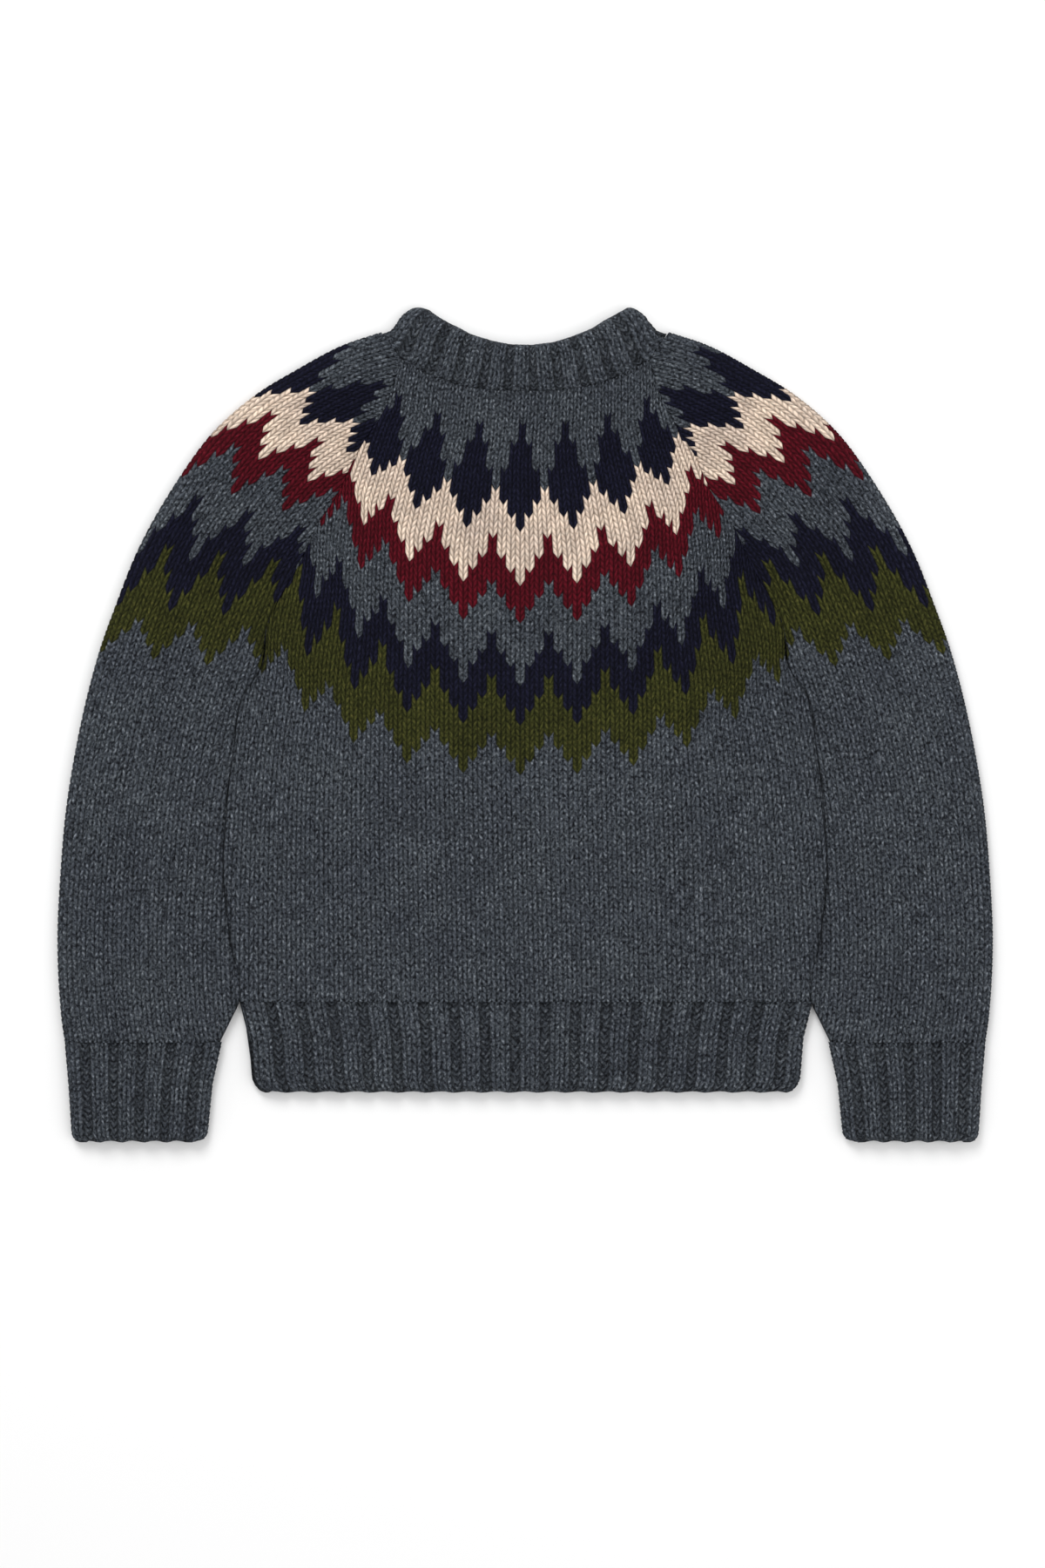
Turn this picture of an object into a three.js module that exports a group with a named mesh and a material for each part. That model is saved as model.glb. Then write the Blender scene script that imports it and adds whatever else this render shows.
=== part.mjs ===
// A chunky knitted yoke sweater, laid flat on its back: neck toward +Y, front facing up.
// Every piece is a knitted wall lying on the layer below. Millimetres, +Z up, resting on z = 0.
import * as THREE from 'three';

// ---- driving sizes ----
const WALL = 4.5;                 // thickness of one knitted layer
const PILE = 12.5;                // back layer, the air between, and front layer
const SEAM = 0.4;                 // gap between neighbouring pieces at a seam
const MID = PILE / 2;             // height where the front and back layers meet at a fold
const FOLD = PILE / 2;            // outer radius of a folded edge
const INNER_FOLD = FOLD - WALL;   // inner radius of a folded edge
const FULL_ROLL = 86;             // degrees that a panel's edge rolls toward the other layer
const FLAT_ROLL = 10;             // degrees left on an edge that butts against its neighbour
const ROW_BOW = 2.7;              // power of the upward bow of the yoke's rows
const COLUMNS = [-0.93, -0.8, -0.6, -0.4, -0.2, 0, 0.2, 0.4, 0.6, 0.8, 0.93];

// ---- the garment's sections, from the ribs up to the neckband ----
// middle: height of the row at the centre front; sideX, sideY: where the body meets the sleeve;
// outX, outY: the sleeve's folded outer edge; roll: how far the edges roll, in degrees.
const SECTIONS = [
  { middle: -223.4, sideX: 230.0, sideY: -223.4, outX: 373.0, outY: -223.4, roll: FULL_ROLL },
  { middle: -189.0, sideX: 237.5, sideY: -174.0, outX: 375.0, outY: -174.0, roll: FULL_ROLL },
  { middle: -150.0, sideX: 243.0, sideY: -119.0, outX: 372.5, outY: -119.0, roll: FULL_ROLL },
  { middle: -115.0, sideX: 240.5, sideY: -69.5, outX: 368.0, outY: -68.0, roll: FULL_ROLL },
  { middle: -82.0, sideX: 234.5, sideY: -20.0, outX: 359.5, outY: -16.0, roll: FULL_ROLL },
  { middle: -57.0, sideX: 227.5, sideY: 21.6, outX: 349.5, outY: 29.0, roll: FULL_ROLL },
  { middle: -41.4, sideX: 214.0, sideY: 42.0, outX: 342.0, outY: 56.0, roll: FULL_ROLL },
  { middle: -1.5, sideX: 206.0, sideY: 84.0, outX: 329.0, outY: 93.0, roll: 45 },
  { middle: 30.0, sideX: 185.0, sideY: 121.6, outX: 312.5, outY: 135.0, roll: FLAT_ROLL },
  { middle: 80.4, sideX: 166.0, sideY: 161.0, outX: 277.5, outY: 197.0, roll: FLAT_ROLL },
  { middle: 110.5, sideX: 151.0, sideY: 184.0, outX: 254.0, outY: 229.5, roll: FLAT_ROLL },
  { middle: 153.9, sideX: 137.0, sideY: 214.0, outX: 219.0, outY: 261.7, roll: FLAT_ROLL },
  { middle: 196.6, sideX: 122.0, sideY: 239.0, outX: 183.0, outY: 284.0, roll: FLAT_ROLL },
  { middle: 238.6, sideX: 108.0, sideY: 266.0, outX: 145.0, outY: 304.0, roll: FLAT_ROLL },
  { middle: 267.3, sideX: 100.0, sideY: 293.0, outX: 115.0, outY: 314.0, roll: FLAT_ROLL },
];
const HEM = SECTIONS[0];
const NECK = SECTIONS[SECTIONS.length - 1];

// The sleeve goes on below the body's rib, apart from the body.
const LOWER_SLEEVE = [
  { sideX: 245.5, sideY: -256.0, outX: 369.0, outY: -256.0, roll: FULL_ROLL },
  { sideX: 237.5, sideY: -239.5, outX: 371.5, outY: -239.5, roll: FULL_ROLL },
];
const CUFF_ROWS = [
  { y: -256.0, inX: 245.5, outX: 369.0 },
  { y: -290.0, inX: 253.0, outX: 366.0 },
  { y: -336.0, inX: 257.5, outX: 363.0 },
];
const HEM_ROWS = [
  { y: -223.4, sideX: 230.0 },
  { y: -253.0, sideX: 222.5 },
  { y: -285.0, sideX: 220.0 },
  { y: -296.2, sideX: 215.5 },
];
// rise: how much higher the neckband's ends lie than its middle, and the power of that curve
const NECKBAND_ROWS = [
  { middle: 267.3, halfWidth: 115.0, rise: 0, bow: ROW_BOW },
  { middle: 286.0, halfWidth: 102.0, rise: 38.0, bow: 2.5 },
  { middle: 305.0, halfWidth: 86.0, rise: 31.0, bow: 1.9 },
];

const radians = THREE.MathUtils.degToRad;

// A closed wall between two grids of points with the same rows and columns.
// ring joins each row's last column to its first.
function wallGeometry(outer, inner, ring = false) {
  const rows = outer.length;
  const columns = outer[0].length;
  const positions = [...outer.flat(), ...inner.flat()].flat();
  const at = (layer, row, column) => (layer * rows + row) * columns + (column % columns);
  const index = [];
  const quad = (a, b, c, d) => index.push(a, b, c, a, c, d);
  const spans = ring ? columns : columns - 1;
  for (let row = 0; row < rows - 1; row++) {
    for (let column = 0; column < spans; column++) {
      const corners = [[row, column], [row, column + 1], [row + 1, column + 1], [row + 1, column]];
      const [a, b, c, d] = corners.map(([r, k]) => at(0, r, k));
      const [e, f, g, h] = corners.map(([r, k]) => at(1, r, k));
      quad(a, b, c, d);
      quad(h, g, f, e);
    }
  }
  for (let column = 0; column < spans; column++) {
    quad(at(1, 0, column), at(1, 0, column + 1), at(0, 0, column + 1), at(0, 0, column));
    const top = rows - 1;
    quad(at(0, top, column), at(0, top, column + 1), at(1, top, column + 1), at(1, top, column));
  }
  if (!ring) {
    for (let row = 0; row < rows - 1; row++) {
      const last = columns - 1;
      quad(at(0, row, 0), at(0, row + 1, 0), at(1, row + 1, 0), at(1, row, 0));
      quad(at(0, row, last), at(1, row, last), at(1, row + 1, last), at(0, row + 1, last));
    }
  }
  const geometry = new THREE.BufferGeometry();
  geometry.setAttribute('position', new THREE.Float32BufferAttribute(positions, 3));
  geometry.setIndex(index);
  return geometry.toNonIndexed();
}

// Turns a geometry's faces the other way.
function flipped(geometry) {
  const positions = geometry.attributes.position;
  for (let face = 0; face < positions.count; face += 3) {
    const second = [positions.getX(face + 1), positions.getY(face + 1), positions.getZ(face + 1)];
    positions.setXYZ(face + 1, positions.getX(face + 2), positions.getY(face + 2), positions.getZ(face + 2));
    positions.setXYZ(face + 2, ...second);
  }
  return geometry;
}

// Volume enclosed by a geometry; negative where its faces point in.
function signedVolume(geometry) {
  const positions = geometry.attributes.position;
  const [a, b, c] = [new THREE.Vector3(), new THREE.Vector3(), new THREE.Vector3()];
  let volume = 0;
  for (let face = 0; face < positions.count; face += 3) {
    a.fromBufferAttribute(positions, face);
    b.fromBufferAttribute(positions, face + 1);
    c.fromBufferAttribute(positions, face + 2);
    volume += a.dot(b.cross(c)) / 6;
  }
  return volume;
}

function outwardFacing(geometry) {
  const facing = signedVolume(geometry) < 0 ? flipped(geometry) : geometry;
  facing.computeVertexNormals();
  return facing;
}

// ---- panels: one layer each, with both edges rolled toward the other layer ----
// A panel's columns: where each lies across the row, and its angle on the rolled edge.
function panelColumns(halfWidth, roll) {
  const reach = FOLD * Math.sin(radians(roll));
  const angles = [roll, roll * 0.5, 0];
  const rolled = (side, angle) => ({ side, flatX: side * (halfWidth - reach), angle });
  const middle = COLUMNS.map((share) => ({ side: 1, flatX: share * (halfWidth - reach), angle: 0 }));
  return [
    ...angles.map((angle) => rolled(-1, angle)),
    ...middle,
    ...[...angles].reverse().map((angle) => rolled(1, angle)),
  ];
}

// layer is 1 for the front panel and -1 for the back one; heightAt gives y from x.
function panelRow(halfWidth, roll, layer, heightAt) {
  const row = { outer: [], inner: [] };
  for (const { side, flatX, angle } of panelColumns(halfWidth, roll)) {
    for (const [skin, radius] of [['outer', FOLD], ['inner', INNER_FOLD]]) {
      const x = flatX + side * radius * Math.sin(radians(angle));
      row[skin].push([x, heightAt(x), MID + layer * radius * Math.cos(radians(angle))]);
    }
  }
  return row;
}

function panelGeometry(rows) {
  return outwardFacing(wallGeometry(rows.map((row) => row.outer), rows.map((row) => row.inner)));
}

function bodyPanel(layer) {
  return panelGeometry(SECTIONS.map(({ middle, sideX, sideY, roll }) => {
    const halfWidth = sideX - SEAM / 2;
    const bow = (x) => middle + (sideY - middle) * Math.abs(x / halfWidth) ** ROW_BOW;
    return panelRow(halfWidth, roll, layer, bow);
  }));
}

function hemRib(layer) {
  return panelGeometry(HEM_ROWS.map(({ y, sideX }, row) => {
    const height = row === 0 ? y - SEAM : y;
    return panelRow(sideX - SEAM / 2, FULL_ROLL, layer, () => height);
  }));
}

// ---- sleeves: one wall folded round the outer edge, its edges meeting at the underarm ----
// Points of a sleeve's section: distance from the outer edge, and height.
function sleeveSection(width, roll, radius) {
  const rollStart = width - FOLD * Math.sin(radians(roll));
  const edge = [roll, roll * 0.5, 0].map((angle) => (
    [rollStart + radius * Math.sin(radians(angle)), radius * Math.cos(radians(angle))]));
  const front = [...edge, [FOLD + (rollStart - FOLD) * 0.5, radius]];
  const fold = [90, 60, 30, 0].map((angle) => (
    [FOLD - radius * Math.cos(radians(angle)), radius * Math.sin(radians(angle))]));
  const half = [...front, ...fold];
  const back = half.slice(0, -1).reverse().map(([distance, height]) => [distance, -height]);
  return [...half, ...back].map(([distance, height]) => [distance, MID + height]);
}

function sleeve(side) {
  const rows = [...LOWER_SLEEVE, ...SECTIONS].map(({ sideX, sideY, outX, outY, roll }) => {
    const edgeX = sideX + SEAM / 2;
    const width = Math.hypot(outX - edgeX, outY - sideY);
    const place = ([distance, height]) => [
      side * (outX + (edgeX - outX) * (distance / width)),
      outY + (sideY - outY) * (distance / width),
      height,
    ];
    return {
      outer: sleeveSection(width, roll, FOLD).map(place),
      inner: sleeveSection(width, roll, INNER_FOLD).map(place),
    };
  });
  return panelGeometry(rows);
}

// ---- cuffs and neckband: flattened tubes ----
function cuff(side) {
  const angles = [0, 30, 60, 90, 120, 150, 180, 210, 240, 270, 300, 330];
  const grid = (radius) => CUFF_ROWS.map(({ y, inX, outX }, row) => angles.map((angle) => {
    const across = Math.cos(radians(angle));
    const centreX = across >= 0 ? outX - FOLD : inX + FOLD;
    const straight = angle === 90 || angle === 270;
    const x = straight ? (inX + outX) / 2 : centreX + radius * across;
    return [side * x, row === 0 ? y - SEAM : y, MID + radius * Math.sin(radians(angle))];
  }));
  return outwardFacing(wallGeometry(grid(FOLD), grid(INNER_FOLD), true));
}

// Height of the seam between yoke and neckband, from x.
function neckSeam(x) {
  const reach = Math.abs(x);
  if (reach <= NECK.sideX) {
    return NECK.middle + (NECK.sideY - NECK.middle) * (reach / NECK.sideX) ** ROW_BOW;
  }
  const share = (reach - NECK.sideX) / (NECK.outX - NECK.sideX);
  return NECK.sideY + (NECK.outY - NECK.sideY) * share;
}

function neckband() {
  const across = [...COLUMNS];
  const seamWidth = NECK.sideX;
  const grid = (radius) => NECKBAND_ROWS.map(({ middle, halfWidth, rise, bow }, row) => {
    const flatWidth = halfWidth - FOLD;
    const heightAt = (x) => (row === 0
      ? neckSeam(x) + SEAM * 2
      : middle + rise * Math.abs(x / halfWidth) ** bow);
    const layerX = row === 0 ? [-1, ...across, 1].map((share) => share * seamWidth)
      : [-1, ...across, 1].map((share) => share * flatWidth * 0.9);
    const front = layerX.map((x) => [x, heightAt(x), MID + radius]);
    const turn = (side) => [60, 0, -60].map((angle) => {
      const x = side * (flatWidth + radius * Math.cos(radians(angle)));
      return [x, heightAt(x), MID + radius * Math.sin(radians(angle))];
    });
    const back = layerX.map((x) => [x, heightAt(x), MID - radius]).reverse();
    return [...front, ...turn(1), ...back, ...turn(-1).reverse()];
  });
  return outwardFacing(wallGeometry(grid(FOLD), grid(INNER_FOLD), true));
}

// ---- the garment ----
const yarn = (colour) => new THREE.MeshStandardMaterial({ color: colour, roughness: 0.95, metalness: 0 });
const GREY_YARN = yarn(0x4c545c);
const sweater = new THREE.Group();

function addPiece(name, geometry) {
  const piece = new THREE.Mesh(geometry, GREY_YARN);
  piece.name = name;
  sweater.add(piece);
}

addPiece('front_panel', bodyPanel(1));
addPiece('back_panel', bodyPanel(-1));
addPiece('hem_rib_front', hemRib(1));
addPiece('hem_rib_back', hemRib(-1));
for (const [wearerSide, side] of [['right', -1], ['left', 1]]) {
  addPiece(`sleeve_${wearerSide}`, sleeve(side));
  addPiece(`cuff_${wearerSide}`, cuff(side));
}
addPiece('neckband', neckband());

export default sweater;
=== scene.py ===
"""A chunky yoke sweater laid flat: every stitch that shows is knitted into the mesh."""

import bmesh
import bpy
import numpy as np
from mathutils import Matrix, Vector


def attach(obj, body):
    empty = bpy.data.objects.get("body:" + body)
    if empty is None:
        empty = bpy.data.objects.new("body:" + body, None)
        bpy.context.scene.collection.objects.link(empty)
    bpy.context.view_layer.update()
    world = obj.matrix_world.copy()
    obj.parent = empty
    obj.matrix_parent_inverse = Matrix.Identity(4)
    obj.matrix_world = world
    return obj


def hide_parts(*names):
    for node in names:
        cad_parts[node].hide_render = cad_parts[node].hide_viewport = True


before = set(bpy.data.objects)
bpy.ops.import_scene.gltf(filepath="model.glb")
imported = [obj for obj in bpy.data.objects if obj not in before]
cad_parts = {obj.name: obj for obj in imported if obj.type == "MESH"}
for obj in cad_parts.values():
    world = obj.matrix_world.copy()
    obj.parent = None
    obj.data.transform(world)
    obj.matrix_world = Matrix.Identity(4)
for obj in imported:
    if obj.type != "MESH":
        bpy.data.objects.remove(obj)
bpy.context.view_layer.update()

MM = 0.001

# ---- cloth, in millimetres ----
WALL = 4.0              # wall of one knitted layer at a fold
MID = 6.25              # height where the front and back layers meet
PUFF = 0.25             # share of a layer's height that its inner skin lies above MID
EDGE_HEIGHT = 0.6       # what is left of a layer's height at a rolled edge
BODY_CROWN = 2.2        # how far the front's middle stands above its sides
SLEEVE_CROWN = 4.6      # the same for the other pieces
CUFF_CROWN = 3.2
NECK_CROWN = 4.5
FULL_SLEEVE = 110.0     # width from which a sleeve has its whole crown
CROWN_FADE = 20         # rows below the neck over which the front flattens
FLATTENING = 0.6        # share of the front's crown that is lost at the neck
ROW_BOW = 2.7           # power of the upward bow of the yoke's rows
CREASE_REACH = 20.0     # how far in the cloth rolls down beside the sleeves
YOKE_CENTRE = -4.0      # the pattern sits a little off the garment's middle
CENTRE_FADE = 12        # rows below the neck over which it comes back to the middle
FOLD_REACH = 13.0       # how far in from its widest point a tube's fold becomes flat
FOLD_LENGTH = 17.0      # length of cloth from the widest point to there

# ---- stitches ----
SHEAR = 0.95            # rows that a stitch's legs rise from its tip to its edge
LEG_HEIGHT = 1.9        # how far a knit leg stands out
BUMP_HEIGHT = 1.5       # how far a purl bump stands out
PURL_DEPTH = 3.0        # how far purl columns sink between knit ones
PURL_EDGE = 0.3         # share of that depth at a purl column's edge
RIB = 3                 # stitches to a rib: two knit and a purl
STEPS = 3               # points across each leg, and along each row
COARSE = 10             # rows to each row of the hidden inner skin

# Relief and light share of a stitch; the light share is painted shade in the gaps between yarns and a
# painted highlight on the knit legs' crests. Each line is a step up its row, and each place in the line a
# step from the stitch's middle to its edge.
KNIT_RELIEF = np.array([[0.0, 0.30, 0.28, 0.0], [0.0, 1.0, 0.80, 0.06], [0.0, 0.82, 1.0, 0.12]])
PURL_RELIEF = np.array([[0.0, 0.05, 0.05, 0.0], [1.0, 0.95, 0.75, 0.35], [0.9, 0.85, 0.65, 0.35]])
KNIT_SHADE = np.array([[0.25, 0.62, 0.58, 0.22], [0.35, 1.12, 1.0, 0.40], [0.32, 1.0, 1.15, 0.45]])
PURL_SHADE = np.array([[0.18, 0.22, 0.22, 0.2], [0.72, 0.74, 0.6, 0.32], [0.66, 0.66, 0.5, 0.32]])
LEG_UNEVENNESS = 0.35   # how far the yarn's tone, carried in the light share, differs at random from leg to leg
PLAIN_SHADE = 0.7       # painted shade: light share of hidden cloth that has no stitches
CREASE_DEPTHS = (0.8, 4.5)      # heights from MID over which painted shade darkens a crease or a fold
CREASE_SHADES = (0.55, 1.0)

# Sections of the garment. row: rows above the yoke's first; sleeve_row: the same, counted on the
# sleeve; middle: y at the centre front; side: where body and sleeve meet; out: the sleeve's
# folded edge; roll: 1 where the two tubes lie side by side, 0 where they are one cloth.
SECTION_NAMES = ("row", "sleeve_row", "middle", "side_x", "side_y", "out_x", "out_y", "roll")
SECTIONS = (
    (-44.0, -56.0, -256.0, 245.5, -256.0, 369.0, -256.0, 1.0),
    (-40.0, -53.0, -240.0, 237.5, -239.5, 371.5, -239.5, 1.0),
    (-36.0, -50.0, -223.4, 230.0, -223.4, 373.0, -223.4, 1.0),
    (-29.5, -41.0, -189.0, 237.5, -174.0, 375.0, -174.0, 1.0),
    (-21.8, -31.0, -150.0, 243.0, -119.0, 372.5, -119.0, 1.0),
    (-14.6, -22.0, -115.0, 240.5, -69.5, 368.0, -68.0, 1.0),
    (-8.1, -13.0, -82.0, 234.5, -20.0, 359.5, -16.0, 1.0),
    (-3.1, -5.0, -57.0, 227.5, 21.6, 349.5, 29.0, 1.0),
    (0.0, 0.0, -41.4, 214.0, 42.0, 342.0, 56.0, 1.0),
    (8.0, 8.0, -1.5, 206.0, 84.0, 329.0, 93.0, 0.45),
    (14.0, 14.0, 30.0, 185.0, 121.6, 312.5, 135.0, 0.0),
    (24.0, 24.0, 80.4, 166.0, 161.0, 277.5, 197.0, 0.0),
    (30.0, 30.0, 110.5, 151.0, 184.0, 254.0, 229.5, 0.0),
    (38.0, 38.0, 153.9, 137.0, 214.0, 219.0, 261.7, 0.0),
    (46.0, 46.0, 196.6, 122.0, 239.0, 183.0, 284.0, 0.0),
    (54.0, 54.0, 238.6, 108.0, 266.0, 145.0, 304.0, 0.0),
    (60.0, 60.0, 267.3, 100.0, 293.0, 115.0, 314.0, 0.0),
)
TABLE = {name: np.array([line[k] for line in SECTIONS]) for k, name in enumerate(SECTION_NAMES)}
HEM_ROW = -36
NECK_ROW = 60
CUFF_ROW = -56

# Stitch widths up the body: decreases narrow the repeats above the cream band.
WIDTH_ROWS = (HEM_ROW, 34, 52, 62)
WIDTHS = (7.65, 7.65, 5.8, 5.6)
BODY_STITCHES = 34      # stitches each side of the middle one
BACK_STITCHES = 36
SLEEVE_STITCH = 7.2     # stitch width on the sleeves
SLEEVE_STITCHES = 23    # stitches from the fold to the body
FOLDED_STITCHES = 2     # stitches that show below the fold
HIDDEN_STITCHES = 24    # stitches of the hidden layer

# Ribs: half widths, or inner and outer sides, at a few heights.
HEM = {"y": (-296.2, -285.0, -253.0, -223.4), "half": (215.5, 220.0, 222.5, 230.0)}
HEM_ROWS = 14
HEM_STITCHES = 28       # stitches each side of the middle one
CUFF = {"y": (-336.0, -290.0, -256.0), "inner": (257.5, 253.0, 245.5), "outer": (363.0, 366.0, 369.0)}
CUFF_ROWS = 15
CUFF_STITCHES = 17
CORNER = 6.0            # how far the corners of the hem and cuffs round in
CORNER_ROWS = 1.6       # rows over which they do
RIB_EDGE_ROWS = 1.5     # rows over which a rib's open edge rounds over
RIB_EDGE_SHARE = 0.25   # share of its height that is left there
HEM_SCALLOP = 0.6       # how far each rib moves the open edge
CUFF_SCALLOP = 0.8

# Neckband: share of its height, y of its middle, how far its sides stand above that, half width.
NECK = {
    "share": (0.0, 0.5, 1.0),
    "middle": (267.3, 286.0, 305.0),
    "dip": (42.0, 38.5, 35.0),
    "half": (115.0, 102.0, 86.0),
}
NECK_ROWS = 9
NECK_STITCHES = 33
NECK_SIDE = (100.0, 293.0)      # where the band's seam leaves the body
NECK_END = (115.0, 314.0)       # where it reaches the sleeve's fold
NECK_CORNER = 5.0       # what is rounded off its top corners
NECK_TURN = 1.6         # how soon the band's own curve takes over from the seam's
NECK_LEAST_RISE = 30.0  # least height of the band above its seam
NECK_EDGE_ROWS = 2.0    # rows over which its top edge rounds over
NECK_EDGE_SHARE = 0.15  # share of its height that is left there
NECK_LIFT = 2.5         # how soon it rises to its whole crown
NECK_WAVER = 0.6        # how far its upper ribs waver
WAVER_RATE = 1.3

# ---- the yoke's pattern: rows where each yarn starts, from a repeat's tip to its valley ----
CHART = (
    ("olive_yarn", (0, 2, 4, 6)),
    ("navy_yarn", (8, 10, 12, 15)),
    ("grey_yarn", (14, 17, 19, 22)),
    ("burgundy_yarn", (24, 26, 28, 30)),
    ("cream_yarn", (30, 32, 34, 37)),
    ("navy_yarn", (38, 40, 42, 44)),
    ("grey_yarn", (54, 51, 47, 44)),
)
REPEAT = 6

# ---- folds in the cloth: start, end, width and height in millimetres (below 0 is a trough) ----
FOLDS = (
    ((-212, 66), (-206, 118), 7, -3.0),
    ((-206, 118), (-176, 150), 12, -1.2),
    ((214, 62), (209, 100), 7, -3.0),
    ((209, 100), (214, 140), 7, -3.2),
    ((214, 140), (243, 176), 9, -2.6),
    ((225, 112), (246, 150), 14, 2.6),
    ((-228, 96), (-240, 150), 18, 1.6),
    ((-330, -60), (-262, -96), 22, 1.6),
    ((-342, -118), (-270, -140), 20, -1.3),
    ((338, -40), (268, -84), 24, 1.5),
    ((346, -120), (282, -150), 18, -1.3),
    ((-352, -196), (-286, -214), 20, 1.3),
    ((350, -190), (280, -218), 22, 1.4),
    ((-180, -60), (-60, -100), 34, 1.4),
    ((170, -40), (80, -96), 30, 1.3),
    ((-120, -170), (60, -186), 36, 1.1),
    ((-40, 236), (46, 238), 16, -1.2),
    ((-150, 262), (-96, 236), 14, 1.3),
    ((152, 266), (98, 240), 14, 1.4),
)
FOLD_END = 1.6          # length of a fold's end, in widths


def at(name, rows, index="row"):
    """A section value at any row, through a smooth curve."""
    known, values = TABLE[index], TABLE[name]
    slopes = np.gradient(values, known)
    k = np.clip(np.searchsorted(known, rows, side="right") - 1, 0, len(known) - 2)
    span = known[k + 1] - known[k]
    t = np.clip((rows - known[k]) / span, 0, 1)
    return (
        (2 * t**3 - 3 * t**2 + 1) * values[k] + (t**3 - 2 * t**2 + t) * span * slopes[k]
        + (3 * t**2 - 2 * t**3) * values[k + 1] + (t**3 - t**2) * span * slopes[k + 1]
    )


def fold_height(x, y):
    """What the folds add to the cloth's height."""
    height = np.zeros_like(x)
    for (x0, y0), (x1, y1), width, rise in FOLDS:
        along = np.array([x1 - x0, y1 - y0], float)
        length = np.hypot(*along)
        along /= length
        far = (x - x0) * along[0] + (y - y0) * along[1]
        past = np.maximum(np.maximum(-far, far - length), 0)
        aside = (x - x0) * along[1] - (y - y0) * along[0]
        height += rise * np.exp(-(aside / width) ** 2 - (past / (FOLD_END * width)) ** 2)
    return height


def round_edge(distance, reach):
    """0 at an edge, rising along a quarter ellipse to 1 a reach away."""
    near = np.clip(1 - distance / reach, 0, 1)
    return np.sqrt(1 - near**2)


def fold_over(along, wall):
    """Distance in from the widest point and angle of the fold, from the length of cloth along it."""
    angle = np.clip(along / FOLD_LENGTH, -1, 1) * (np.pi / 2)
    flat = np.maximum(np.abs(along) - FOLD_LENGTH, 0)
    return wall + (FOLD_REACH - wall) * (1 - np.cos(angle)) + flat, angle


# ---- columns of points: place in stitches, share across the leg, stitch, whether knitted ----
def stitch_columns(first, last):
    """Columns over whole stitches, closed by the last one's far edge."""
    columns = []
    for stitch in range(first, last + 1):
        columns += [(stitch, k / (2 * STEPS)) for k in range(-STEPS, STEPS)]
    columns.append((last, 0.5))
    return [(stitch + offset, abs(offset) * 2, stitch, True) for stitch, offset in columns]


def plain_columns(places):
    return [(place, 0.0, int(round(place)), False) for place in places]


def ring_columns(stitches, back):
    """Knitted columns over the front of a flattened tube, then plain ones round its back."""
    front = stitch_columns(0, stitches - 1)
    behind = stitches - 0.5 + np.arange(1, back) / back * stitches
    return front + [(place, 0.0, -1, False) for place in behind]


# ---- stitches ----
def relief(share, step, purl):
    """How far each point of a stitch stands out of the cloth."""
    across = np.round(share * STEPS).astype(int)
    knit = KNIT_RELIEF[step, across] * LEG_HEIGHT
    sunk = np.where(across < STEPS, PURL_DEPTH, PURL_DEPTH * PURL_EDGE)
    bumps = PURL_RELIEF[step, across] * BUMP_HEIGHT - sunk
    return np.where(purl, bumps, knit)


def uneven(stitch, row, left_leg):
    """A number from 0 to 1 that differs from leg to leg and is the same in every run."""
    wave = np.sin(stitch * 12.9898 + np.floor(row) * 78.233 + left_leg * 37.719) * 43758.5453
    return wave - np.floor(wave)


def stitch_shade(share, step, purl):
    """Light share of each point: painted shade in the gaps between yarns, and painted highlight on knit
    crests.
    """
    across = np.round(share * STEPS).astype(int)
    return np.where(purl, PURL_SHADE[step, across], KNIT_SHADE[step, across])


# ---- the knitted wall ----
def skin_faces(ids, left, right):
    """Four-sided faces over a grid of points."""
    corners = (ids[:-1][:, left], ids[:-1][:, right], ids[1:][:, right], ids[1:][:, left])
    return np.stack(corners, axis=-1).reshape(-1, 4)


def end_faces(fine, coarse, left, right):
    """Faces that close a wall along its first or last row."""
    return np.stack([fine[left], coarse[left], coarse[right], fine[right]], axis=-1)


def side_faces(fine, coarse, coarse_at):
    """Faces that close a wall along a column, where the inner skin has fewer points."""
    faces = []
    for k in range(len(coarse_at) - 1):
        low, high = coarse_at[k], coarse_at[k + 1]
        half = (low + high) // 2
        for point in range(low, high):
            corner = coarse[k if point < half else k + 1]
            faces.append((int(fine[point]), int(fine[point + 1]), int(corner)))
        faces.append((int(fine[half]), int(coarse[k + 1]), int(coarse[k])))
    return faces


def grey_only(stitch, row):
    return ["grey_yarn"], np.zeros(len(stitch), int)


def chart_colour(first_tip=0):
    """The yarn of each face of the yoke, with a repeat's tip at the stitch first_tip."""
    yarns = ["grey_yarn", "olive_yarn", "navy_yarn", "burgundy_yarn", "cream_yarn"]

    def colour(stitch, row):
        column = np.abs((stitch - first_tip + REPEAT // 2) % REPEAT - REPEAT // 2)
        index = np.zeros(len(stitch), int)
        for yarn, starts in CHART:
            index = np.where(row >= np.array(starts)[column], yarns.index(yarn), index)
        return yarns, index

    return colour


def skin_colours(colour, stitch, rows):
    """Yarns of a skin's faces, from the stitch of each column and the row that a face starts in."""
    starts = np.floor(rows[:-1]).astype(int)
    return colour(np.tile(stitch, len(starts)), np.repeat(starts, len(stitch)))


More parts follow.
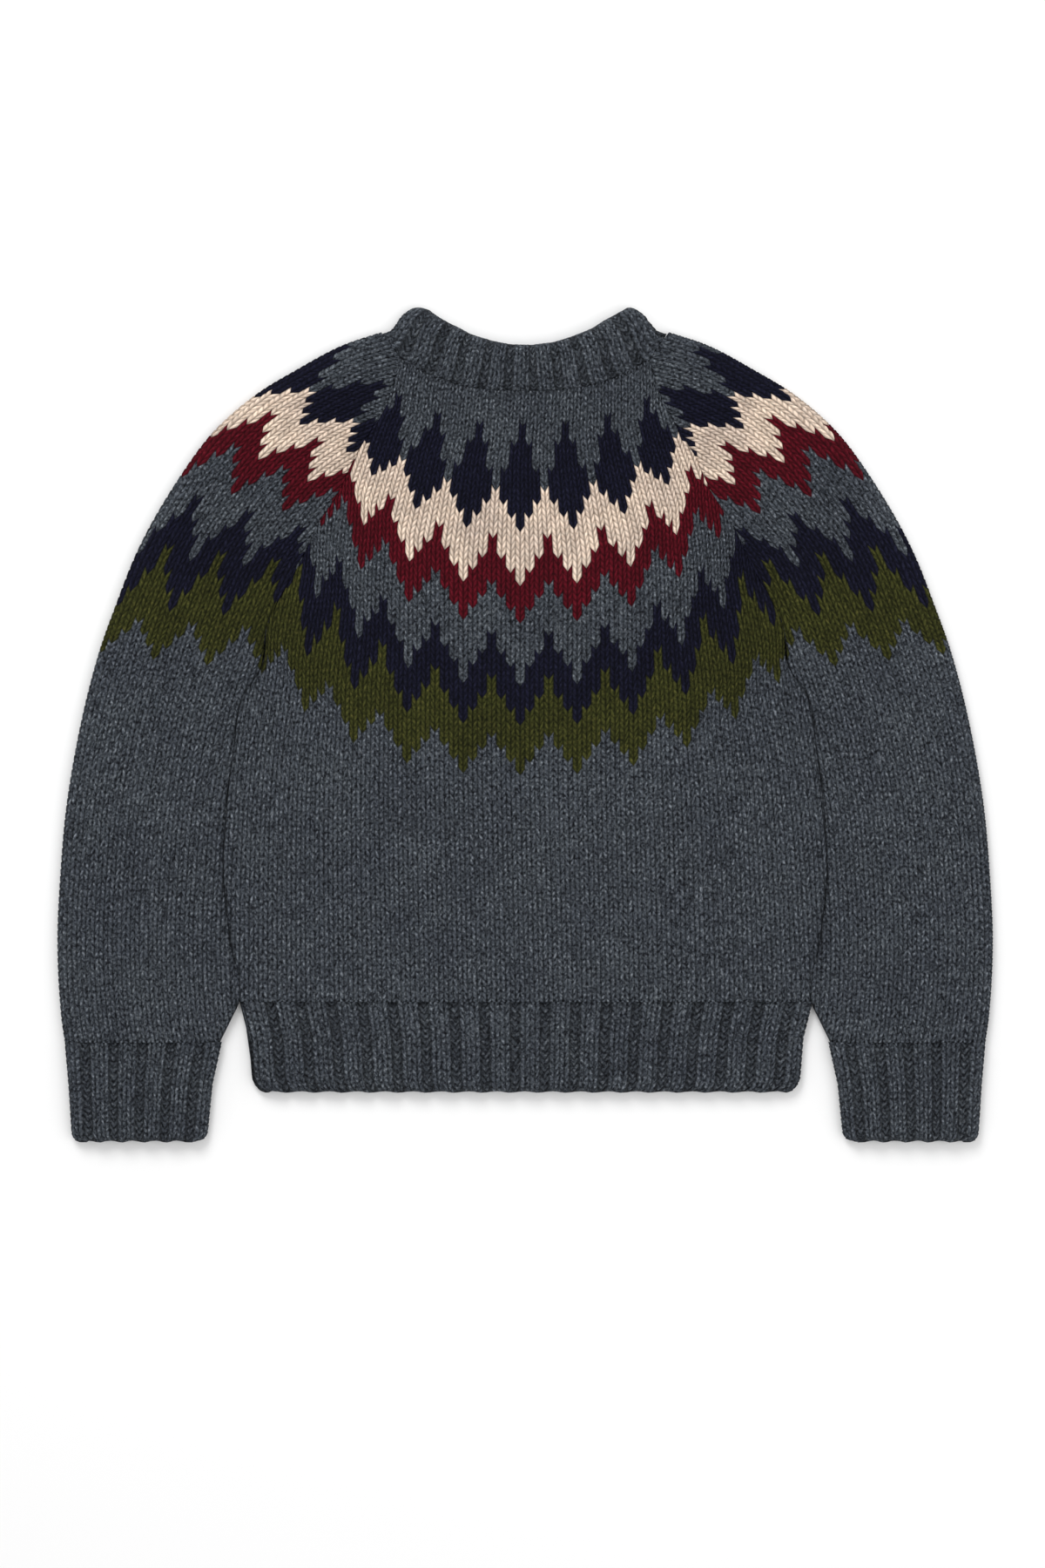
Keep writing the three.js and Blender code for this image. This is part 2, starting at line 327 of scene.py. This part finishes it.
def make_piece(name, vertices, faces, yarns, index, shade):
    """A smooth closed mesh with a yarn for each face and a painted light share (shade and highlight) at
    each point.
    """
    mesh = bpy.data.meshes.new(name)
    mesh.from_pydata(vertices.tolist(), [], faces)
    mesh.polygons.foreach_set("material_index", index)
    # painted shade and highlight of each point, kept as a colour attribute
    layer = mesh.color_attributes.new("shade", "FLOAT_COLOR", "POINT")
    layer.data.foreach_set("color", np.stack([shade, shade, shade, np.ones_like(shade)], axis=-1).ravel())
    solid = bmesh.new()
    solid.from_mesh(mesh)
    bmesh.ops.remove_doubles(solid, verts=solid.verts, dist=1e-6)
    bmesh.ops.dissolve_degenerate(solid, edges=solid.edges, dist=1e-7)
    bmesh.ops.recalc_face_normals(solid, faces=solid.faces)
    solid.to_mesh(mesh)
    solid.free()
    mesh.polygons.foreach_set("use_smooth", [True] * len(mesh.polygons))
    for yarn in yarns:
        mesh.materials.append(bpy.data.materials[yarn])
    piece = bpy.data.objects.new(name, mesh)
    bpy.context.scene.collection.objects.link(piece)
    return piece


def knitted(name, columns, first_row, last_row, place, colour=grey_only, ribbed=False, ring=False):
    """A closed wall: a knitted outer skin over a coarse inner one.

    place(pos, row, base_row, inner) gives points in millimetres and the way out of the cloth.
    Cloth whose columns are all plain has a point a row, and no stitches.
    """
    pos, share, stitch, stitched = (np.array(values) for values in zip(*columns))
    detailed = stitched.any()
    steps = STEPS if detailed else 1
    lowest = first_row - 1 if detailed else first_row
    base = np.arange(lowest * steps, last_row * steps + 1) / steps
    rows, pos_grid = np.meshgrid(base, pos, indexing="ij")
    risen = np.clip(rows + np.where(stitched, SHEAR * share, 0.0), first_row, last_row)
    base_rows = np.clip(rows, first_row, last_row)
    outer, way = place(pos_grid, risen, base_rows, False)
    shade = np.ones(rows.shape)
    if detailed:
        step = np.round((base % 1) * steps).astype(int)[:, None]
        purl = ribbed & (stitch % RIB == RIB - 1)
        outer = outer + way * np.where(stitched, relief(share, step, purl), 0.0)[..., None]
        outer[..., 2] = np.maximum(outer[..., 2], 0)
        # painted shade in the gaps and painted highlight on the crests, times a random tone from leg to
        # leg
        leg = uneven(stitch, base[:, None], pos < stitch)
        gap_shade_and_leg_tone = stitch_shade(share, step, purl) * (1 + LEG_UNEVENNESS * (leg - 0.5))
        # painted shade: cloth lying close to MID, in creases and round folded edges, is darkened
        crease_shade = np.interp(np.abs(outer[..., 2] - MID), CREASE_DEPTHS, CREASE_SHADES)
        shade = np.where(stitched, gap_shade_and_leg_tone, PLAIN_SHADE) * crease_shade

    coarse_at = np.unique(np.append(np.arange(0, len(base), COARSE * steps), len(base) - 1))
    inner_rows = base_rows[coarse_at]
    inner, _ = place(pos_grid[coarse_at], inner_rows, inner_rows, True)

    count = len(pos)
    outer_ids = np.arange(len(base) * count).reshape(-1, count)
    inner_ids = np.arange(len(coarse_at) * count).reshape(-1, count) + outer_ids.size
    left = np.arange(count if ring else count - 1)
    right = (left + 1) % count
    faces = skin_faces(outer_ids, left, right).tolist()
    faces += skin_faces(inner_ids, left, right)[:, ::-1].tolist()
    yarns, outer_index = skin_colours(colour, stitch[left], base)
    inner_index = skin_colours(colour, stitch[left], base[coarse_at])[1]
    for end in (0, -1):
        faces += end_faces(outer_ids[end], inner_ids[end], left, right).tolist()
    if not ring:
        for side in (0, -1):
            faces += side_faces(outer_ids[:, side], inner_ids[:, side], coarse_at)
    index = np.zeros(len(faces), int)
    index[:len(outer_index)] = outer_index
    index[len(outer_index):len(outer_index) + len(inner_index)] = inner_index

    vertices = np.concatenate([outer.reshape(-1, 3), inner.reshape(-1, 3)]) * MM
    # the hidden inner skin gets the same painted shade as plain cloth
    light = np.concatenate([shade.ravel(), np.full(inner_ids.size, PLAIN_SHADE)])
    return make_piece(name, vertices, faces, yarns, index, light)


# ---- body ----
ROW_LATTICE = np.arange(HEM_ROW - 2, NECK_ROW + 3, 1.0)
STITCH_LATTICE = np.arange(0, 44, 0.5)
WIDEST_REACH = 330      # further from the centre than any stitch


def body_lattice():
    """Distance from the centre of each half stitch of each row, measured along the bowed row."""
    reach = np.linspace(0, WIDEST_REACH, 400)
    lattice = []
    for row in ROW_LATTICE:
        half = at("side_x", row)
        height = (at("side_y", row) - at("middle", row)) * (reach / half) ** ROW_BOW
        steps = np.hypot(np.diff(reach), np.diff(height))
        length = np.concatenate([[0], np.cumsum(steps)])
        width = np.interp(row, WIDTH_ROWS, WIDTHS)
        lattice.append(np.interp(STITCH_LATTICE * width, length, reach))
    return np.array(lattice)


LATTICE = body_lattice()


def across_body(pos, row):
    """Distance from the pattern's centre of a place in stitches, between the lattice's points."""
    r = np.clip(row - ROW_LATTICE[0], 0, len(ROW_LATTICE) - 1.001)
    s = np.clip(np.abs(pos) * 2, 0, len(STITCH_LATTICE) - 1.001)
    r0, s0 = r.astype(int), s.astype(int)
    fr, fs = r - r0, s - s0
    reach = (
        LATTICE[r0, s0] * (1 - fr) * (1 - fs) + LATTICE[r0 + 1, s0] * fr * (1 - fs)
        + LATTICE[r0, s0 + 1] * (1 - fr) * fs + LATTICE[r0 + 1, s0 + 1] * fr * fs
    )
    return reach * np.sign(pos)


def body_place(layer):
    """The front's layer is 1 and the back's is -1."""
    def place(pos, row, base_row, inner):
        below_neck = np.clip((NECK_ROW - row) / CENTRE_FADE, 0, 1)
        centre = YOKE_CENTRE * np.clip((row - HEM_ROW) / -HEM_ROW, 0, 1) * below_neck
        x = across_body(pos, row) + centre
        outside = np.abs(across_body(pos, base_row) + centre) >= at("side_x", base_row)
        row = np.where(outside, base_row, row)
        half = at("side_x", row)
        x = np.where(outside, np.sign(pos) * half, np.clip(x, -half, half))
        middle, side_y = at("middle", row), at("side_y", row)
        y = middle + (side_y - middle) * np.abs(x / half) ** ROW_BOW
        roll = np.clip(at("roll", row), 0, 1)
        edge = 1 - round_edge(half - np.abs(x), CREASE_REACH)
        height = MID - roll * (MID - EDGE_HEIGHT) * edge
        if layer > 0:
            crown = BODY_CROWN * (1 - (x / half) ** 2)
            near_neck = np.clip((row - (NECK_ROW - CROWN_FADE)) / CROWN_FADE, 0, 1)
            height = height + crown * (1 - FLATTENING * near_neck) + fold_height(x, y)
        z = MID + layer * (np.maximum(height, EDGE_HEIGHT) * (PUFF if inner else 1))
        way = np.zeros(x.shape + (3,))
        way[..., 2] = np.where(outside, 0, layer)
        return np.stack([x, y, z], axis=-1), way

    return place


# ---- sleeves ----
def sleeve_place(side, phase):
    def lines(row):
        names = ("out_x", "out_y", "side_x", "side_y")
        out_x, out_y, in_x, in_y = [at(name, row, "sleeve_row") for name in names]
        width = np.hypot(out_x - in_x, out_y - in_y)
        return out_x, out_y, (in_x - out_x) / width, (in_y - out_y) / width, width

    def place(pos, row, base_row, inner):
        along = (pos + phase) * SLEEVE_STITCH
        distance, angle = fold_over(along, WALL if inner else 0.0)
        outside = distance >= lines(base_row)[-1]
        row = np.where(outside, base_row, row)
        out_x, out_y, dx, dy, width = lines(row)
        distance = np.where(outside, width, np.minimum(distance, width))
        x, y = out_x + dx * distance, out_y + dy * distance
        roll = np.clip(at("roll", row, "sleeve_row"), 0, 1)
        edge = 1 - roll * (1 - EDGE_HEIGHT / MID) * (1 - round_edge(width - distance, CREASE_REACH))
        arch = np.sin(np.pi * np.clip(distance / width, 0, 1))
        crown = SLEEVE_CROWN * arch * np.clip(width / FULL_SLEEVE, 0, 1)
        top = MID + crown + fold_height(side * x, y)
        height = np.where(angle >= 0, np.maximum(top, EDGE_HEIGHT), MID) * edge
        z = MID + height * np.sin(angle) * (PUFF if inner else 1)
        way = np.stack([-dx * np.cos(angle) * side, -dy * np.cos(angle), np.sin(angle)], axis=-1)
        way = way * np.where(outside, 0, 1)[..., None]
        return np.stack([side * x, y, z], axis=-1), way

    return place


# ---- ribs ----
def rib_edge(row):
    """Height share of a rib, which rounds over at its open edge."""
    return RIB_EDGE_SHARE + (1 - RIB_EDGE_SHARE) * round_edge(row, RIB_EDGE_ROWS)


def rib_corner(row):
    """How far a rib's side is rounded in at its open edge."""
    return CORNER * (1 - round_edge(row, CORNER_ROWS))


def scallop(pos, size, share):
    """How far the ribs move the open edge."""
    return size * np.cos(2 * np.pi * pos / RIB) * (1 - share) ** 2


def hem_place(layer):
    def place(pos, row, base_row, inner):
        share = row / HEM_ROWS
        y = HEM["y"][0] + (HEM["y"][-1] - HEM["y"][0]) * share
        half = np.interp(y, HEM["y"], HEM["half"]) - rib_corner(row)
        length = half - FOLD_REACH + FOLD_LENGTH
        along = length * (1 - np.abs(pos) / (HEM_STITCHES + 0.5))
        distance, angle = fold_over(along, 0.0)
        x = np.sign(pos) * (half - distance)
        y = y + scallop(pos, HEM_SCALLOP, share)
        crown = BODY_CROWN * (1 - (x / half) ** 2) if layer > 0 else 0
        height = (MID + crown) * np.sin(angle) * rib_edge(row)
        z = MID + layer * (np.maximum(height, EDGE_HEIGHT) * (PUFF if inner else 1))
        way = np.stack([np.sign(pos) * np.cos(angle), 0 * x, layer * np.sin(angle)], axis=-1)
        return np.stack([x, y, z], axis=-1), way

    return place


def round_tube(pos, stitches, width, wall):
    """Place across a flattened tube, angle of its fold, and which way along x is out."""
    turn = (pos + 0.5) / stitches
    front = turn <= 1
    share = np.where(front, turn, 2 - turn)
    length = width - 2 * FOLD_REACH + 2 * FOLD_LENGTH
    along = share * length
    near = np.minimum(along, length - along)
    distance, angle = fold_over(near, wall)
    across = np.where(along < length / 2, distance, width - distance)
    outward = np.where(along < length / 2, -1.0, 1.0)
    return across, np.where(front, angle, -angle), outward


def cuff_place(side):
    def place(pos, row, base_row, inner):
        share = row / CUFF_ROWS
        y = CUFF["y"][0] + (CUFF["y"][-1] - CUFF["y"][0]) * share
        low = np.interp(y, CUFF["y"], CUFF["inner"]) + rib_corner(row)
        high = np.interp(y, CUFF["y"], CUFF["outer"]) - rib_corner(row)
        across, angle, outward = round_tube(pos, CUFF_STITCHES, high - low, WALL if inner else 0.0)
        height = np.where(angle >= 0, MID + CUFF_CROWN, MID) * rib_edge(row)
        z = MID + height * np.sin(angle) * (PUFF if inner else 1)
        y = y + scallop(pos, CUFF_SCALLOP, share)
        way = np.stack([side * outward * np.cos(angle), 0 * y, np.sin(angle)], axis=-1)
        return np.stack([side * (low + across), y, z], axis=-1), way

    return place


def neck_seam(x):
    """y of the seam under the neckband: along the body's bow, then up to the sleeve's fold."""
    reach = np.abs(x)
    low, rise = NECK["middle"][0], NECK_SIDE[1] - NECK["middle"][0]
    curve = low + rise * (np.minimum(reach, NECK_SIDE[0]) / NECK_SIDE[0]) ** ROW_BOW
    past = np.clip((reach - NECK_SIDE[0]) / (NECK_END[0] - NECK_SIDE[0]), 0, 1)
    return curve + past * (NECK_END[1] - NECK_SIDE[1])


def neck_place(pos, row, base_row, inner):
    share = row / NECK_ROWS
    middle, dip, half = [np.interp(share, NECK["share"], NECK[name]) for name in ("middle", "dip", "half")]
    across, angle, outward = round_tube(pos, NECK_STITCHES, 2 * half, WALL if inner else 0.0)
    x = across - half
    part = np.abs(x) / half
    curve = middle + dip * part ** 2 - NECK_CORNER * share ** 6 * part ** 16
    seam = neck_seam(x / half * NECK_END[0])
    blend = np.clip(share * NECK_TURN, 0, 1)
    least = seam + NECK_LEAST_RISE * share * (1 - blend)
    y = seam * (1 - blend) + np.maximum(curve, least) * blend
    edge = NECK_EDGE_SHARE + (1 - NECK_EDGE_SHARE) * round_edge(NECK_ROWS - row, NECK_EDGE_ROWS)
    crown = NECK_CROWN * np.clip(share * NECK_LIFT, 0, 1)
    height = np.where(angle >= 0, MID + crown, MID) * edge
    z = MID + height * np.sin(angle) * (PUFF if inner else 1)
    x = x + np.where(share > 0.5, NECK_WAVER * np.sin(pos * WAVER_RATE), 0)
    way = np.stack([outward * np.cos(angle), 0 * y, np.sin(angle)], axis=-1)
    return np.stack([x, y, z], axis=-1), way


# ---- yarns: name, base colour, light flecks, dark flecks, share of the flecks ----
YARNS = (
    ("grey_yarn", (0.064, 0.074, 0.089), (0.180, 0.200, 0.225), (0.014, 0.016, 0.021), 1.0),
    ("olive_yarn", (0.041, 0.044, 0.010), (0.086, 0.081, 0.02), (0.016, 0.018, 0.004), 0.8),
    ("navy_yarn", (0.0065, 0.0068, 0.019), (0.016, 0.017, 0.036), (0.002, 0.002, 0.007), 0.7),
    ("burgundy_yarn", (0.090, 0.003, 0.009), (0.15, 0.009, 0.02), (0.046, 0.0015, 0.005), 0.6),
    ("cream_yarn", (0.81, 0.65, 0.53), (0.90, 0.77, 0.65), (0.57, 0.43, 0.33), 0.6),
)
FLECK_SCALE = 430       # noise scales, in repeats to a metre
PATCH_SCALE = 28
FIBRE_SCALE = 1300
FIBRE_DEPTH = 0.0007    # metres
FIBRE_STRENGTH = 0.55


def wool(name, base, light, dark, fleck):
    """Matte spun wool: flecks along the yarn, soft patches, a fibre bump, and the mesh's painted shade
    multiplied into its colour.
    """
    material = bpy.data.materials.new(name)
    material.use_nodes = True
    nodes, links = material.node_tree.nodes, material.node_tree.links
    shader = nodes["Principled BSDF"]
    shader.inputs["Roughness"].default_value = 0.95
    shader.inputs["Specular IOR Level"].default_value = 0.15
    shader.inputs["Sheen Weight"].default_value = 0.12
    shader.inputs["Sheen Roughness"].default_value = 0.6
    shader.inputs["Sheen Tint"].default_value = (*light, 1)
    place = nodes.new("ShaderNodeTexCoord")

    def noise(scale, detail):
        node = nodes.new("ShaderNodeTexNoise")
        node.inputs["Scale"].default_value = scale
        node.inputs["Detail"].default_value = detail
        links.new(place.outputs["Object"], node.inputs["Vector"])
        return node.outputs["Fac"]

    def ramp(value, stops):
        node = nodes.new("ShaderNodeValToRGB")
        elements = node.color_ramp.elements
        while len(elements) < len(stops):
            elements.new(0.5)
        for element, (where, colour) in zip(elements, stops):
            element.position = where
            element.color = (*colour, 1)
        links.new(value, node.inputs["Fac"])
        return node.outputs["Color"]

    def mix(kind, factor, second):
        node = nodes.new("ShaderNodeMix")
        node.data_type = "RGBA"
        node.blend_type = kind
        node.inputs["Factor"].default_value = factor
        links.new(second, node.inputs["B"])
        return node

    flecks = ramp(noise(FLECK_SCALE, 3.0), [(0.38, dark), (0.47, base), (0.56, base), (0.68, light)])
    patches = ramp(noise(PATCH_SCALE, 2.0), [(0.3, (0.84, 0.84, 0.86)), (0.7, (1.08, 1.08, 1.06))])
    # painted shade and highlight: the colour is multiplied by the mesh's shade attribute
    shade = nodes.new("ShaderNodeVertexColor")
    shade.layer_name = "shade"
    flecked = mix("MIX", fleck, flecks)
    flecked.inputs["A"].default_value = (*base, 1)
    patched = mix("MULTIPLY", 1.0, patches)
    links.new(flecked.outputs["Result"], patched.inputs["A"])
    shaded = mix("MULTIPLY", 1.0, shade.outputs["Color"])
    links.new(patched.outputs["Result"], shaded.inputs["A"])
    links.new(shaded.outputs["Result"], shader.inputs["Base Color"])
    bump = nodes.new("ShaderNodeBump")
    bump.inputs["Strength"].default_value = FIBRE_STRENGTH
    bump.inputs["Distance"].default_value = FIBRE_DEPTH
    links.new(noise(FIBRE_SCALE, 3.0), bump.inputs["Height"])
    links.new(bump.outputs["Normal"], shader.inputs["Normal"])


for yarn in YARNS:
    wool(*yarn)


# ---- pieces: each cut is its flat width and length in metres, and its area ----
BODY_CUT = ((0.490, 0.520), 0.201)
SLEEVE_CUT = ((0.290, 0.620), 0.1405)
HEM_CUT = ((0.460, 0.073), 0.0321)
CUFF_CUT = ((0.250, 0.080), 0.0168)
NECK_CUT = ((0.440, 0.046), 0.0177)
# the wearer's side, sign of x, shift of the stitches at the fold, stitch of a repeat's tip
SLEEVES = (("right", -1, 0.6, 0), ("left", 1, 0.5, 1))


def add(piece, node, flat, area, rests_on):
    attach(piece, "root")
    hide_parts(node)


def body():
    front_columns = stitch_columns(-BODY_STITCHES, BODY_STITCHES)
    back_columns = plain_columns(range(-BACK_STITCHES, BACK_STITCHES + 1))
    front = knitted("front_knit", front_columns, HEM_ROW, NECK_ROW, body_place(1), chart_colour())
    back = knitted("back_knit", back_columns, HEM_ROW, NECK_ROW, body_place(-1), chart_colour())
    add(back, "back_panel", *BODY_CUT, ["floor"])
    add(front, "front_panel", *BODY_CUT, [back])


def hem():
    edge = HEM_STITCHES + 0.5
    back_columns = plain_columns(np.arange(-edge, edge + 0.1, 1.5))
    front_columns = stitch_columns(-HEM_STITCHES, HEM_STITCHES)
    back = knitted("hem_rib_back_knit", back_columns, 0, HEM_ROWS, hem_place(-1))
    front = knitted("hem_rib_front_knit", front_columns, 0, HEM_ROWS, hem_place(1), ribbed=True)
    add(back, "hem_rib_back", *HEM_CUT, ["floor"])
    add(front, "hem_rib_front", *HEM_CUT, [back])


def sleeve(wearer_side, side, phase, tip):
    hidden = plain_columns(np.arange(-HIDDEN_STITCHES, -FOLDED_STITCHES, 2.0))
    columns = hidden + stitch_columns(-FOLDED_STITCHES, SLEEVE_STITCHES)
    piece = knitted(f"sleeve_{wearer_side}_knit", columns, CUFF_ROW, NECK_ROW,
                    sleeve_place(side, phase), chart_colour(tip))
    add(piece, f"sleeve_{wearer_side}", *SLEEVE_CUT, ["floor"])


def cuff(wearer_side, side):
    piece = knitted(f"cuff_{wearer_side}_knit", ring_columns(CUFF_STITCHES, 14), 0, CUFF_ROWS,
                    cuff_place(side), ribbed=True, ring=True)
    add(piece, f"cuff_{wearer_side}", *CUFF_CUT, ["floor"])


def neckband():
    piece = knitted("neckband_knit", ring_columns(NECK_STITCHES, 24), 0, NECK_ROWS,
                    neck_place, ribbed=True, ring=True)
    add(piece, "neckband", *NECK_CUT, ["floor"])


body()
hem()
for wearer_side, side, phase, tip in SLEEVES:
    sleeve(wearer_side, side, phase, tip)
    cuff(wearer_side, side)
neckband()


# ---- studio, in metres ----
FLOOR_HALF = 6.0
VIEW_HEIGHT = 1.26      # floor from the frame's foot to its top
VIEW_CENTRE = (-0.0021, -0.0484)
LENS = 100
SENSOR = 36


def plain_surface(name, colour):
    material = bpy.data.materials.new(name)
    material.use_nodes = True
    shader = material.node_tree.nodes["Principled BSDF"]
    shader.inputs["Base Color"].default_value = (*colour, 1)
    shader.inputs["Roughness"].default_value = 0.9
    return material


def floor():
    mesh = bpy.data.meshes.new("floor")
    corners = [(x * FLOOR_HALF, y * FLOOR_HALF, 0) for x, y in ((-1, -1), (1, -1), (1, 1), (-1, 1))]
    mesh.from_pydata(corners, [], [(0, 1, 2, 3)])
    mesh.materials.append(plain_surface("floor_white", (0.93, 0.93, 0.93)))
    stage = bpy.data.objects.new("floor", mesh)
    bpy.context.scene.collection.objects.link(stage)


def area_light(name, place, size, power):
    light = bpy.data.lights.new(name, "AREA")
    light.size = size
    light.energy = power
    holder = bpy.data.objects.new(name, light)
    holder.location = place
    holder.rotation_euler = Vector(place).to_track_quat("Z", "Y").to_euler()
    bpy.context.scene.collection.objects.link(holder)


def daylight(strength):
    world = bpy.data.worlds.new("studio")
    world.use_nodes = True
    background = world.node_tree.nodes["Background"]
    background.inputs["Color"].default_value = (1, 1, 1, 1)
    background.inputs["Strength"].default_value = strength
    bpy.context.scene.world = world


def camera():
    lens = bpy.data.cameras.new("camera")
    lens.lens = LENS
    lens.sensor_width = SENSOR
    holder = bpy.data.objects.new("camera", lens)
    holder.location = (*VIEW_CENTRE, VIEW_HEIGHT * LENS / SENSOR + 2 * MID * MM)
    bpy.context.scene.collection.objects.link(holder)
    bpy.context.scene.camera = holder


floor()
area_light("key", (-0.9, 2.2, 2.6), 1.6, 62)
area_light("fill", (1.6, -0.6, 3.0), 3.0, 34)
daylight(0.62)
camera()
bpy.context.scene.view_settings.view_transform = "Standard"
